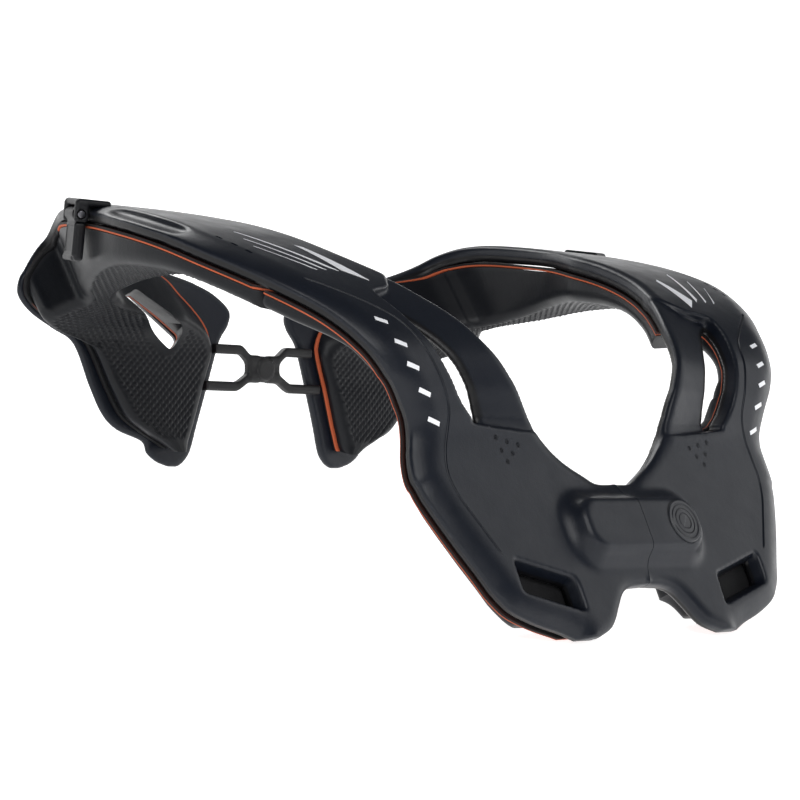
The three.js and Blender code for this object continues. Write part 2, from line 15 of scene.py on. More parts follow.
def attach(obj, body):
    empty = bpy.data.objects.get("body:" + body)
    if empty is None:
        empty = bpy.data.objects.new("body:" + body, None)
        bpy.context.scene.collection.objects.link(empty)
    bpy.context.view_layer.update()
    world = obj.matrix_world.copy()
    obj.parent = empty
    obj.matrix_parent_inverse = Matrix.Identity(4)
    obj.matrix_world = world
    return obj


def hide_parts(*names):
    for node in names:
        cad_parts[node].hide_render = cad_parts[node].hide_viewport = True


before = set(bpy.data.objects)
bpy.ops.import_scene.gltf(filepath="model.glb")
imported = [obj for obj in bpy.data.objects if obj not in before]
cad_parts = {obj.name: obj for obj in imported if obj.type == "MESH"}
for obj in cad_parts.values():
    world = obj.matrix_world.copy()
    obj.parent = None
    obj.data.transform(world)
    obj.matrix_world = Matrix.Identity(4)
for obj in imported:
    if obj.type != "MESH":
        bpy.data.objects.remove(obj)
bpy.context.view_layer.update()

# %% [markdown]
# ## The bent sheet
# All the moulded pieces follow one bent sheet: seen from the side it rises from the chest, runs back
# over the shoulders and drops down the back. A place on it is x across, s along and h out of it, all
# in millimetres. Shapes are drawn flat in those three and then bent into place, as the sheet metal
# worker's layout is, because the outlines are simple there and the same outline serves every layer.

# %% Bend flat places into the brace's shape
HALF_WIDTH = 154.0
FRONT_TO_BACK = 251.5
FRAME_HEIGHT = 114.0
SHIFT_BACK = -126.535
SHIFT_UP = 0.7146
side_view = np.array([
    (0, .018), (.052, .162), (.107, .303), (.163, .447), (.191, .544), (.207, .64), (.225, .737),
    (.258, .825), (.322, .904), (.421, .965), (.549, 1), (.688, .991), (.827, .952), (.922, .908),
    (.974, .842), (1, .737), (.992, .596), (.97, .439), (.946, .246), (.926, .07), (.918, 0)])


def smooth_line(points, steps):
    """A soft curve through the points."""
    points = np.array(points, float)
    p = np.vstack([2 * points[0] - points[1], points, 2 * points[-1] - points[-2]])
    t = np.linspace(0, 1, steps, endpoint=False)[:, None]
    spans = [0.5 * (2 * b + (c - a) * t + (2 * a - 5 * b + 4 * c - d) * t**2
                    + (3 * b - a - 3 * c + d) * t**3) for a, b, c, d in zip(p, p[1:], p[2:], p[3:])]
    return np.vstack([*spans, points[-1:]])


def run_length(line):
    """How far along the line each of its points is."""
    return np.r_[0, np.cumsum(np.linalg.norm(np.diff(line, axis=0), axis=1))]


sheet = smooth_line(side_view * (FRONT_TO_BACK, FRAME_HEIGHT), 100)
sheet_run = run_length(sheet)
LENGTH = sheet_run[-1]
sheet_turn = np.gradient(sheet, sheet_run, axis=0)
sheet_turn /= np.linalg.norm(sheet_turn, axis=1)[:, None]


def bend(x, s, h):
    """The place in the room, in metres, of a flat place in millimetres."""
    y, z = (np.interp(s, sheet_run, sheet[:, i]) for i in (0, 1))
    ty, tz = (np.interp(s, sheet_run, sheet_turn[:, i]) for i in (0, 1))
    x = x + 0 * y
    return np.stack([x, y - tz * h + SHIFT_BACK, z + ty * h + SHIFT_UP], -1) / 1000


print("the sheet is", round(LENGTH, 1), "mm long")

# %% [markdown]
# ## The outlines
# The half frame's edges were measured from the photograph at stations along the sheet. Each row says
# the station and the inner and outer edge there, as shares of the sheet's length and of half the
# width. Soft curves through the rows give the flowing outline of the moulding.

# %% Outline tables
half_outline = np.array([
    (.006, .235, .3), (.013, .186, .344), (.022, .158, .418), (.034, .132, .487), (.046, .102, .52),
    (.052, .06, .532), (.056, -.03, .539), (.073, -.03, .562), (.103, -.03, .606), (.138, -.03, .651),
    (.1525, -.03, .664), (.154, .058, .668), (.162, .104, .672), (.176, .169, .668), (.196, .232, .656),
    (.212, .255, .664), (.236, .287, .695), (.262, .325, .734), (.292, .365, .773),
    (.328, .407, .825), (.357, .452, .877), (.39, .502, .929), (.434, .554, .981), (.486, .584, 1),
    (.53, .602, .997), (.566, .645, .978), (.603, .688, .944), (.648, .704, .898),
    (.698, .695, .84), (.728, .669, .797), (.748, .636, .775), (.768, .59, .763), (.785, .5, .776),
    (.798, .38, .79), (.809, .25, .803), (.82, .165, .819), (.836, .108, .819), (.852, .112, .78),
    (.866, .14, .712), (.88, .156, .643), (.92, .19, .59), (.948, .214, .545), (.963, .226, .494),
    (.974, .234, .409), (.985, .245, .393), (.994, .264, .36), (.999, .285, .318)])
arm_window = np.array([
    (.199, .225), (.206, .446), (.212, .472), (.228, .508), (.243, .529), (.262, .553),
    (.296, .589), (.328, .619), (.347, .622), (.357, .558), (.372, .526), (.392, .494)])
inner_arm = np.array([
    (.186, .42, .4), (.199, .43, .5), (.212, .432, 1), (.236, .447, 1), (.262, .471, 1),
    (.292, .51, 1), (.328, .58, 1), (.347, .64, .9), (.372, .65, .6), (.4, .64, .4)])
wing_pad = np.array([
    (.748, .644, .767), (.768, .6, .753), (.785, .51, .765), (.798, .425, .778),
    (.809, .36, .79), (.82, .321, .802), (.836, .27, .798), (.852, .228, .755),
    (.866, .208, .668), (.88, .208, .606), (.92, .243, .545), (.948, .266, .493),
    (.963, .28, .43), (.974, .29, .372), (.98, .298, .342)])
vent_slot = np.array([(.458, .082), (.266, .0615), (.262, .029), (.458, .05)])
wing_slot = np.array([(.558, .835), (.506, .822), (.335, .866), (.375, .882)])
SHARE = np.array([HALF_WIDTH, LENGTH])


def edge_line(table, column, steps=6):
    """The soft edge through one column of a table, as flat x, s points."""
    return smooth_line(table[:, [column, 0]] * SHARE, steps)


def edge_at(line, s):
    """How far out an edge line is at s."""
    return np.interp(s, line[:, 1], line[:, 0])


SPLIT = 0.15
outer_line = edge_line(half_outline, 2)
inner_line = edge_line(half_outline, 1)
window_line = edge_line(arm_window, 1)
print("outline points:", len(outer_line) + len(inner_line))

# %% [markdown]
# ## Distance fields
# A moulding has no sharp corners: every edge rolls over and every step ends in a fillet. Drawing that
# with faces is slow, so each moulded piece is a field that says how far every point is from the
# surface. Fields join and cut with a soft radius, and a mesh is drawn where the field is zero.

# %% Field tools
def line_distance(line, x, s, closed=False):
    """How far each flat place is from a line."""
    ends = np.roll(line, -1, axis=0) if closed else line[1:]
    best = np.full(x.shape, 1e9)
    for (ax, ay), (bx, by) in zip(line, ends):
        dx, dy = bx - ax, by - ay
        t = np.clip(((x - ax) * dx + (s - ay) * dy) / max(dx * dx + dy * dy, 1e-9), 0, 1)
        best = np.minimum(best, (x - ax - t * dx)**2 + (s - ay - t * dy)**2)
    return np.sqrt(best)


def region(outline, x, s):
    """Distance to a closed outline, below zero inside it."""
    within = np.zeros(x.shape, bool)
    for (ax, ay), (bx, by) in zip(outline, np.roll(outline, -1, axis=0)):
        crosses = (ay > s) != (by > s)
        within ^= crosses & (x < ax + (s - ay) * (bx - ax) / ((by - ay) or 1e-9))
    return np.where(within, -1, 1) * line_distance(outline, x, s, closed=True)


def join(a, b, soft):
    """Both bodies, with a fillet where they meet."""
    t = np.clip(0.5 + 0.5 * (b - a) / soft, 0, 1)
    return b * (1 - t) + a * t - soft * t * (1 - t)


def keep(a, b, soft):
    """Only what is in both bodies, with a rolled edge."""
    return -join(-a, -b, soft)


def cut(a, b, soft):
    """The first body without the second."""
    return keep(a, -b, soft)


def ease(value, start, end):
    """0 before start, 1 after end, soft between."""
    t = np.clip((value - start) / (end - start), 0, 1)
    return t * t * (3 - 2 * t)


def field_mesh(field, axes):
    """Points and four-sided faces where the field is zero."""
    grid = openvdb.FloatGrid(5.0)
    grid.copyFromArray(np.ascontiguousarray(field, dtype=np.float32))
    points, quads = grid.convertToQuads(0.0)
    points = np.stack([axis[0] + points[:, i] * (axis[1] - axis[0]) for i, axis in enumerate(axes)], 1)
    return points, quads.astype(int)


# %% [markdown]
# ## Making and placing pieces
# A few helpers turn points and faces into a named piece, turn its faces outward, shade it, hide the
# CAD node that it stands for and hang it on the body that carries it. Left pieces are mirrors of right
# ones.

# %% Piece tools
SIDES = {"right": 1, "left": -1}


def new_mesh(name, points, faces, height=None):
    """A mesh with its faces outward."""
    points = np.asarray(points, float)
    faces = [list(f) for f in faces]
    mesh = bpy.data.meshes.new(name)
    mesh.from_pydata(points.tolist(), [], faces)
    mesh.validate()
    mesh.update()
    volume = 0.0
    corners = np.array([f[:3] for f in faces])
    more = np.array([[f[0], f[2], f[3]] for f in faces if len(f) == 4])
    for part in (corners, more):
        if len(part):
            a, b, c = (points[part[:, i]] for i in range(3))
            volume += np.einsum("ij,ij->i", a, np.cross(b, c)).sum()
    if volume < 0:
        mesh.flip_normals()
    if height is not None:
        mesh.attributes.new("height", "FLOAT", "POINT").data.foreach_set("value", np.float32(height))
    return mesh


def new_object(name, mesh):
    """A named object in the scene."""
    thing = bpy.data.objects.new(name, mesh)
    bpy.context.scene.collection.objects.link(thing)
    return thing


def carve(thing, cutter_mesh):
    """Cuts a closed mesh out of a piece with crisp edges."""
    cutter = new_object("cutter", cutter_mesh)
    tool = thing.modifiers.new("cut", "BOOLEAN")
    tool.operation = "DIFFERENCE"
    tool.solver = "MANIFOLD"
    tool.object = cutter
    shapes = bpy.context.evaluated_depsgraph_get()
    done = bpy.data.meshes.new_from_object(thing.evaluated_get(shapes))
    thing.modifiers.clear()
    print("carved", thing.name, len(thing.data.polygons), "->", len(done.polygons), "faces")
    if len(done.polygons) > 0.5 * len(thing.data.polygons):
        thing.data = done
    bpy.data.objects.remove(cutter)


def settle(thing, material, node, body="frame", sharp=45):
    """Shades a piece, hands it its finish and its body, and hides the CAD node that it stands for."""
    thing.data.shade_smooth()
    thing.data.set_sharp_from_angle(angle=math.radians(sharp))
    thing.data.materials.clear()
    thing.data.materials.append(material)
    if node:
        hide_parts(node)
    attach(thing, body)
    return thing


def merged(parts):
    """Several closed meshes as one list of points and faces."""
    points, faces, start = [], [], 0
    for part_points, part_faces in parts:
        points.append(part_points)
        faces += [[start + i for i in face] for face in part_faces]
        start += len(part_points)
    return np.vstack(points), faces


def ring_faces(rings, count):
    """The faces of a tube of equal rings, with a cap at each end."""
    faces = [[r * count + i, r * count + (i + 1) % count, (r + 1) * count + (i + 1) % count,
              (r + 1) * count + i] for r in range(rings - 1) for i in range(count)]
    faces += [list(range(count))[::-1], [(rings - 1) * count + i for i in range(count)]]
    return faces


def tube(centre, across, out, radius, sides=10):
    """A closed round tube along a line of points; across and out are its two side directions."""
    turn = np.linspace(0, 2 * math.pi, sides, endpoint=False)
    rings = (centre[:, None] + radius[:, None, None] * (np.cos(turn)[None, :, None] * across[:, None]
             + np.sin(turn)[None, :, None] * out[:, None]))
    return rings.reshape(-1, 3), ring_faces(len(centre), sides)


def turned(profile, place, out, up, sides=96):
    """A turned piece: radius and height pairs spun about the out direction, closed at both ends."""
    turn = np.linspace(0, 2 * math.pi, sides, endpoint=False)
    side = np.cross(up, out)
    rings = [place + height / 1000 * out + radius / 1000 * (np.cos(turn)[:, None] * side
             + np.sin(turn)[:, None] * up) for radius, height in profile]
    return np.vstack(rings), ring_faces(len(rings), sides)


def mirror(points, side):
    """Points of the right side, or the same ones reflected to the left."""
    return points * (SIDES[side], 1, 1)


print("pieces are made for:", list(SIDES))


# %% [markdown]
# ## Finishes
# The shell is satin moulded plastic with a fine grain, the pads are dull foam skin, the layer under
# the shell is orange foam, the coupling is rubber and the pins are dark plated steel. Each finish has
# its own grain, a slow change of colour, convex edges painted a little lighter as a painted highlight
# and a roughness that varies. A band paints black below a height, as painted shade in the gap under the
# rim.

# %% Finish maker
CLOUD = 38.0
SPECK = 1.6
SMEAR = 9.0


def finish(name, colour, rough, grain=0.05, grain_size=0.5, edge_highlight=0.25, metal=0.0, band=None, vary=0.05,
           shine=0.5):
    """A finish: colour, roughness, grain depth and size in mm, and how strongly convex edges are painted
    lighter as a painted highlight.

    A band is a height in mm, with a colour painted below it as painted shade."""
    material = bpy.data.materials.new(name)
    material.use_nodes = True
    nodes, links = material.node_tree.nodes, material.node_tree.links
    shader = nodes["Principled BSDF"]
    shader.inputs["Metallic"].default_value = metal
    shader.inputs["Specular IOR Level"].default_value = shine
    place = nodes.new("ShaderNodeTexCoord").outputs["Object"]

    def noise(size, detail=4.0):
        node = nodes.new("ShaderNodeTexNoise")
        node.inputs["Scale"].default_value = 1000 / size
        node.inputs["Detail"].default_value = detail
        links.new(place, node.inputs["Vector"])
        return node.outputs["Fac"]

    def spread(value, low, high, start, end):
        node = nodes.new("ShaderNodeMapRange")
        for key, number in zip(("From Min", "From Max", "To Min", "To Max"), (low, high, start, end)):
            node.inputs[key].default_value = number
        links.new(value, node.inputs["Value"])
        return node.outputs["Result"]

    def mix(share, first, second):
        node = nodes.new("ShaderNodeMix")
        node.data_type = "RGBA"
        links.new(share, node.inputs["Factor"])
        for socket, value in (("A", first), ("B", second)):
            target = [i for i in node.inputs if i.name == socket and i.type == "RGBA"][0]
            if hasattr(value, "links"):
                links.new(value, target)
            else:
                target.default_value = (*value, 1)
        return [o for o in node.outputs if o.type == "RGBA"][0]

    def tint(share):
        return tuple(c * share for c in colour)

    look = mix(spread(noise(CLOUD), 0.3, 0.7, 0, 1), tint(1 - vary), tint(1 + vary))
    look = mix(spread(noise(SPECK, 6.0), 0.62, 0.8, 0, 0.35), look, tint(1.45))
    # Painted shade: below the band's height the colour turns to the band's black.
    if band:
        height = nodes.new("ShaderNodeAttribute")
        height.attribute_name = "height"
        look = mix(spread(height.outputs["Fac"], band[0], band[0] - 0.3, 0, 1), look, band[1])
    # Painted highlight: edges that stand out, found by pointiness, are painted lighter.
    edges = nodes.new("ShaderNodeNewGeometry").outputs["Pointiness"]
    painted_edge_highlight = spread(edges, 0.53, 0.62, 0, edge_highlight)
    look = mix(painted_edge_highlight, look, tuple(min(1, c * 2 + 0.06) for c in colour))
    links.new(look, shader.inputs["Base Color"])
    links.new(spread(noise(SMEAR, 8.0), 0.3, 0.7, rough - 0.04, rough + 0.04), shader.inputs["Roughness"])
    bumps = None
    for size, depth in ((grain_size, grain), (grain_size * 6, grain * 1.5)):
        bump = nodes.new("ShaderNodeBump")
        bump.inputs["Strength"].default_value = 0.6
        bump.inputs["Distance"].default_value = depth / 1000
        links.new(noise(size), bump.inputs["Height"])
        if bumps:
            links.new(bumps, bump.inputs["Normal"])
        bumps = bump.outputs["Normal"]
    links.new(bumps, shader.inputs["Normal"])
    return material


# Painted shade: this black is painted on the shell's rim below the parting step and on the top of the
# orange layer, where the gap under the rim lies in shade.
PAINTED_SHADE_BLACK = (0.004, 0.004, 0.005)
PARTING = -4.4
shell_finish = finish("satin shell", (0.0055, 0.0075, 0.0130), 0.36, 0.05, 0.45, 0.16,
                      band=(PARTING, PAINTED_SHADE_BLACK), shine=0.30)
pad_finish = finish("foam skin", (0.0036, 0.0044, 0.0066), 0.42, 0.08, 0.8, 0.30, shine=0.24)
# Painted shade: the orange foam's band paints its flagged parts black.
liner_finish = finish("orange foam", (0.42, 0.085, 0.032), 0.75, 0.10, 0.7, 0.1,
                      band=(-0.4, PAINTED_SHADE_BLACK), shine=0.3)
rubber_finish = finish("black rubber", (0.006, 0.006, 0.007), 0.50, 0.06, 0.6, 0.2, shine=0.4)
clip_finish = finish("clip plastic", (0.006, 0.0065, 0.008), 0.40, 0.05, 0.4, 0.30, shine=0.24)
button_finish = finish("button plastic", (0.012, 0.0135, 0.018), 0.36, 0.03, 0.4, 0.45, shine=0.4)
pin_finish = finish("plated steel", (0.10, 0.10, 0.11), 0.32, 0.02, 0.3, 0.5, metal=0.9)
print_finish = finish("white print", (0.86, 0.87, 0.90), 0.5, 0.01, 0.4, 0.0, vary=0.04)
print("finishes:", len(bpy.data.materials))

# %% [markdown]
# ## The half frames
# A half frame is one moulding: the chest plate with half of the latch block, the outer arm, the lower
# inner arm behind an oval gap, the back arm and the wing. Its outer edge rolls over far, its inner
# edge a little, and a parting step runs round the rim. The fields of plate, arm and block are joined
# with the fillets that the photograph shows, and the slots, the scoop and the gap are cut.

# %% Half frame field
STEP = 1.0
RIM = 6.5
LIP = 7.5
WING_RIM = 3.4
ARM_DROP = 5.0
EDGE_ROLL, EDGE_FALL = 12, 3.6
INNER_ROLL, INNER_FALL = 4.5, 1.5
WING_TURN, WING_END = 0.768 * LENGTH, 0.82 * LENGTH
grid_x = np.arange(-7, 158, STEP)
grid_s = np.arange(-2, 404, STEP)
grid_h = np.arange(-9, 10, 0.6)
X, S = np.meshgrid(grid_x, grid_s, indexing="ij")
H = grid_h[None, None, :]
half_region = region(np.vstack([outer_line, inner_line[::-1]]), X, S)


def rim_at(s):
    """How deep the rim hangs below the sheet."""
    return RIM + (WING_RIM - RIM) * ease(s, WING_TURN, WING_END)


def lip_at(s):
    """How deep the lip inside the rim reaches."""
    return rim_at(s) + LIP - RIM


def crown(x, s):
    """The height of the plate's top: low at the rolled outer edge, a little low at the inner one.

    The inner edge leaves the plate where the halves meet, so it is measured in runs between gaps."""
    roll = rim_at(s) / RIM
    past = np.array([line for line in inner_line if line[0] > 0.5])
    gaps = np.linalg.norm(np.diff(past, axis=0), axis=1)
    runs = np.split(past, np.where(gaps > 12)[0] + 1)
    from_inner = np.minimum.reduce([line_distance(run, x, s) for run in runs if len(run) > 1])
    from_outer = line_distance(outer_line, x, s)
    return (-EDGE_FALL * roll * (1 - np.clip(from_outer / EDGE_ROLL, 0, 1))**2.2
            - INNER_FALL * roll * (1 - np.clip(from_inner / INNER_ROLL, 0, 1))**2)


top = crown(X, S)
rim = lip_at(S)
parting = 0.4 * (H < PARTING) * (rim > 5)[..., None] + 0.5 * (H < -rim_at(S)[..., None])
plate = keep(keep(H - top[..., None], half_region[..., None] + parting, 1.2), -(H + rim[..., None]), 0.8)
PAST_INNER_EDGE = (70, 0)
window = region(np.vstack([window_line, window_line[::-1] - PAST_INNER_EDGE]), X, S)
plate = cut(plate, window[..., None], 0.9)

arm_outer = edge_line(inner_arm, 1)
arm_s = arm_outer[:, 1]
arm_inner = np.stack([edge_at(inner_line, arm_s), arm_s], 1)
arm_region = region(np.vstack([arm_outer, arm_inner[::-1]]), X, S)
drop = ARM_DROP * np.interp(S, inner_arm[:, 0] * LENGTH, inner_arm[:, 2])
share = np.clip((X - edge_at(inner_line, S)) / (edge_at(arm_outer, S) - edge_at(inner_line, S)), 0, 1)
arm_top = -drop * (0.35 + 0.65 * share) - 1.2 * (1 - np.clip(-arm_region / 3.5, 0, 1))**2
arm = keep(keep(H - arm_top[..., None], arm_region[..., None] + parting, 0.9), -(H + rim[..., None]), 0.8)
body = join(plate, arm, 1.3)
print("half frame field:", body.shape)

# %% [markdown]
# The latch block rises from the chest plate with a flat face, sloping flanks and a generous fillet at
# its foot. It could be a bevelled box, but a soft join of two fields gives the same flowing foot that
# a mould gives.

# %% Latch block
BLOCK_HALF = 32.6
BLOCK_RAISE = 7.0
BLOCK_CORNER = 8.0
BLOCK_SLOPE = 4.0
block_from, block_to = 0.0825 * LENGTH, 0.1305 * LENGTH
block_middle, block_half = (block_from + block_to) / 2, (block_to - block_from) / 2
qx = np.abs(X) - BLOCK_HALF + BLOCK_CORNER
qs = np.abs(S - block_middle) - block_half + BLOCK_CORNER
block_flat = (np.hypot(np.maximum(qx, 0), np.maximum(qs, 0)) + np.minimum(np.maximum(qx, qs), 0)
              - BLOCK_CORNER)
flank = block_flat[..., None] - BLOCK_SLOPE * (BLOCK_RAISE - H) / BLOCK_RAISE
body = join(body, keep(flank, H - BLOCK_RAISE, 2.4), 5.0)
body = keep(keep(body, -(H + rim[..., None]), 0.8), half_region[..., None], 0.5)
print("latch block, mm:", 2 * BLOCK_HALF, "by", round(block_to - block_from, 1), "by", BLOCK_RAISE)

# %% [markdown]
# The vent slot on the chest is cut with a slight draft, as a mould needs. The strap slot in the wing
# runs at a slant through every layer, so its outline moves a little from one height to the next. A
# shallow scoop dips into the outer rim in front of the strap clip.

# %% Slots and scoop
def round_corners(corners, radius=2.4, steps=5):
    """A closed outline whose corners are rounded."""
    flat = corners * SHARE
    points = []
    for before, corner, after in zip(np.roll(flat, 1, axis=0), flat, np.roll(flat, -1, axis=0)):
        a = corner + (before - corner) / np.linalg.norm(before - corner) * radius
        b = corner + (after - corner) / np.linalg.norm(after - corner) * radius
        points += [a * (1 - t)**2 + 2 * corner * t * (1 - t) + b * t * t for t in np.linspace(0, 1, steps)]
    return np.array(points)


vent_outline = round_corners(vent_slot)
wing_outline = round_corners(wing_slot)
WING_SLANT = (-0.55, 0.15)
SLANT_FROM = -14
VENT_DRAFT = np.clip(-H * 0.30, 0, 1.8)
WING_ROWS = 250
body = cut(body, region(vent_outline, X, S)[..., None] + VENT_DRAFT, 1.0)
for layer, height in enumerate(grid_h):
    shift_x, shift_s = (slant * (height - SLANT_FROM) for slant in WING_SLANT)
    hole = region(wing_outline + (shift_x, shift_s), X[:, WING_ROWS:], S[:, WING_ROWS:])
    body[:, WING_ROWS:, layer] = cut(body[:, WING_ROWS:, layer], hole, 1.0)
SCOOP_S = 208
SCOOP_WIDE, SCOOP_LONG, SCOOP_DEEP = 8.5, 23, 3.6
scoop_x = (X - edge_at(outer_line, S) + 1.5)[..., None] / SCOOP_WIDE
scoop_s = (S[..., None] - SCOOP_S) / SCOOP_LONG
scoop_h = (H - 0.4) / SCOOP_DEEP
scoop = (scoop_x**4 + scoop_s**4 + scoop_h**4)**0.25 - 1
body = cut(body, SCOOP_DEEP * scoop, 0.8)
flat_points, frame_faces = field_mesh(body, (grid_x, grid_s, grid_h))
print("half frame:", len(frame_faces), "faces")

# %% [markdown]
# Fine marks are cut after the moulding is meshed, because they are narrower than the field's grid: the
# incised line that follows the rim, six blind dots beside the ledge, three short dashes near the clip
# and the round bore for the button. Each cutter follows the surface that it marks.

# %% Incised marks
def surface(x, s, lift=0.0):
    """Room place, and the outward direction there, on top of the plate."""
    height = crown(x, s) + lift
    place = bend(x, s, height)
    return place, (bend(x, s, height + 1) - place) * 1000


def groove(points, radius, lift=0.15):
    """A round cutter along flat points on the plate's top."""
    line = smooth_line(points, 10)
    place, out = surface(line[:, 0], line[:, 1], lift)
    along = np.gradient(place, axis=0)
    across = np.cross(along, out)
    across /= np.linalg.norm(across, axis=1)[:, None]
    width = np.full(len(line), radius / 1000)
    width[0] = width[-1] = radius / 4000
    return tube(place, across, out, width)


incised_line = [(126.8, 145), (117.7, 138), (105.9, 129), (97.6, 120.9), (93.1, 110.8), (88.1, 98.8),
                (84.9, 89), (85.8, 81), (88.6, 72), (89.6, 64), (87.6, 56), (83.7, 48.5), (75.6, 33.7)]
blind_dots = [(61.1, 77.9), (55.4, 76.7), (49.8, 75.5), (59, 73.4), (53.4, 72.3), (57, 69.2)]
dashes = [(136.1, 164.2), (137.7, 170.5), (139.4, 177.1)]
marks = [groove(incised_line, 0.75)]
marks += [groove([(x - 0.3, s - 1.5), (x, s), (x + 0.3, s + 1.5)], 0.9, 0.25) for x, s in dashes]

BUTTON_X = 0.147 * HALF_WIDTH
BUTTON_S = 0.1065 * LENGTH
BUTTON_RADIUS = 8.6
button_place = bend(BUTTON_X, BUTTON_S, 0.0)
button_out = (bend(BUTTON_X, BUTTON_S, 1.0) - button_place) * 1000
button_up = np.cross(button_out, (1, 0, 0))


DOT = [(0.3, -0.9), (0.8, -0.65), (1.05, 0), (1.3, 1.0)]
for x, s in blind_dots:
    dot_place, dot_out = surface(np.array([x]), np.array([s]))
    marks.append(turned(DOT, dot_place[0], dot_out[0], np.cross(dot_out[0], (1, 0, 0)), sides=24))
beyond = [(x, y, z) for x in (-0.03, SPLIT / 1000) for y in (-0.2, 0.2) for z in (-0.1, 0.3)]
beyond_faces = [(0, 1, 3, 2), (4, 6, 7, 5), (0, 4, 5, 1), (2, 3, 7, 6), (0, 2, 6, 4), (1, 5, 7, 3)]
BORE_RADIUS = BUTTON_RADIUS + 0.45
bore = turned([(BORE_RADIUS, -1.4), (BORE_RADIUS, 6.7), (BUTTON_RADIUS + 1.3, 7.8)],
              button_place, button_out, button_up)
frame_points = bend(flat_points[:, 0], flat_points[:, 1], flat_points[:, 2])
for side in SIDES:
    # The height attribute lets the shell's finish paint the rim black below the parting step, as painted
    # shade.
    shell_mesh = new_mesh("half frame", mirror(frame_points, side), frame_faces, flat_points[:, 2])
    shell = new_object("half_frame_" + side + "_shell", shell_mesh)
    cutter_points, cutter_faces = merged(marks + ([bore] if side == "right" else []))
    carve(shell, new_mesh("beyond", mirror(np.array(beyond), side), beyond_faces))
    carve(shell, new_mesh("marks", mirror(cutter_points, side), cutter_faces))
    settle(shell, shell_finish, "half_frame_" + side, sharp=50)

# %% [markdown]
# ## The printed marks
# White marks are printed on the shell: five slanting ticks along the outer arm, and a wedge with three
# thin stripes on the shoulder. They could be colours in the shell's finish, but their edges would
# blur there, so they are thin patches that follow the surface a hair above it, as printed ink does.

# %% Prints
INK_TOP, INK_FOOT = 0.16, -0.5


def patch(corners, across=6, along=24):
    """A thin four-cornered patch on the plate's top."""
    a, b, c, d = (np.array(p, float) for p in corners)
    u, v = np.meshgrid(np.linspace(0, 1, along), np.linspace(0, 1, across), indexing="ij")
    u, v = u[..., None], v[..., None]
    flat = ((a * (1 - u) + b * u) * (1 - v) + (d * (1 - u) + c * u) * v).reshape(-1, 2)
    layers = [surface(flat[:, 0], flat[:, 1], lift)[0] for lift in (INK_TOP, INK_FOOT)]

    def idx(i, j, layer):
        return layer * along * across + i * across + j

    faces = []
    for k in (0, 1):
        faces += [[idx(i, j, k), idx(i + 1, j, k), idx(i + 1, j + 1, k), idx(i, j + 1, k)][::1 - 2 * k]
                  for i in range(along - 1) for j in range(across - 1)]
    ring = [(i, 0) for i in range(along)] + [(along - 1, j) for j in range(1, across)]
    ring += [(i, across - 1) for i in range(along - 2, -1, -1)]
    ring += [(0, j) for j in range(across - 2, 0, -1)]
    for p, q in zip(ring, ring[1:] + ring[:1]):
        faces.append([idx(*q, 0), idx(*p, 0), idx(*p, 1), idx(*q, 1)])
    return np.vstack(layers), faces


ticks = [(106.6, 121.8), (103, 111.9), (100, 103.4), (95.6, 94.3), (91.6, 84.3)]
tick_corners = [(-1.5, -3), (3.5, -1.2), (3.1, 0.4), (-1.9, -1.4)]
stripes = [((93, 146), (101, 153), (104, 176), (101.5, 174)),
           ((103, 152), (106.5, 155), (124, 187), (122.8, 186)),
           ((109, 152), (111, 153.5), (127, 178), (126, 177)),
           ((114, 151.5), (115.6, 152.6), (129, 170), (128.4, 169))]
prints = [patch([(x + dx, s + ds) for dx, ds in tick_corners], 4, 8) for x, s in ticks]
prints += [patch(corners) for corners in stripes]
print_points, print_faces = merged(prints)
for side in SIDES:
    ink = new_object("print_" + side, new_mesh("print", mirror(print_points, side), print_faces))
    settle(ink, print_finish, None)
print("prints per side:", len(prints))

# %% [markdown]
# ## Layers and pads
# Under each half frame lies a thin orange layer, and under that the foam pads. They are long cushions,
# so each is a closed tube of rings: every ring goes down the inner wall, round a soft corner, across
# the face and up the outer wall. The front and back ones part at a slanting cut.

# %% Layer edges and the pad's inner curve
LAYER_GAP = 0.3
LINER = 1.6
FRONT_PAD = 8.0
CHEST_INNER = 18.5
CHEST_BORDER = 8.0
SPLIT_NEAR, SPLIT_FAR = 0.3292, 0.4019
pad_profile = np.array([
    (.32, .335, .763), (.38, .413, .822), (.45, .514, .858), (.53, .628, .833), (.6, .722, .772),
    (.67, .795, .69), (.74, .852, .62), (.8, .895, .555), (.85, .924, .475), (.89, .916, .37),
    (.93, .898, .25), (.99, .873, .05)])
pad_curve = smooth_line(pad_profile * (LENGTH, FRONT_TO_BACK, FRAME_HEIGHT), 20)
wing_inner, wing_outer = edge_line(wing_pad, 1), edge_line(wing_pad, 2)
WING_FROM = 0.748 * LENGTH


def layer_inset(s, chest, arm):
    """How far a layer stays inside the shell's edges, which changes from the chest to the arm."""
    return chest + (arm - chest) * ease(s, 0.30 * LENGTH, 0.35 * LENGTH)


def layer_edges(s, layer, front):
    """Inner and outer edge of a layer at s."""
    chest, arm, border = {"liner": (0.4, 0.4, 1.5), "pad": (9.0, 1.2, 0.0)}[layer]
    inset = layer_inset(s, chest, arm)
    outer = edge_at(outer_line, s) - inset
    inner = edge_at(inner_line, s) + inset
    if front:
        chest_edge = np.maximum(edge_at(inner_line, s) + CHEST_BORDER, CHEST_INNER) + inset * 0.4
        arm_edge = edge_at(window_line, np.minimum(s, 0.347 * LENGTH)) + 1 + inset * 0.4
        inner = chest_edge + (arm_edge - chest_edge) * ease(s, 0.195 * LENGTH, 0.212 * LENGTH)
    wing = ease(s, WING_FROM - 6, WING_FROM + 4)
    inner = inner + wing * (edge_at(wing_inner, s) - border - inner)
    outer = outer + wing * (edge_at(wing_outer, s) + border - outer)
    return inner, outer


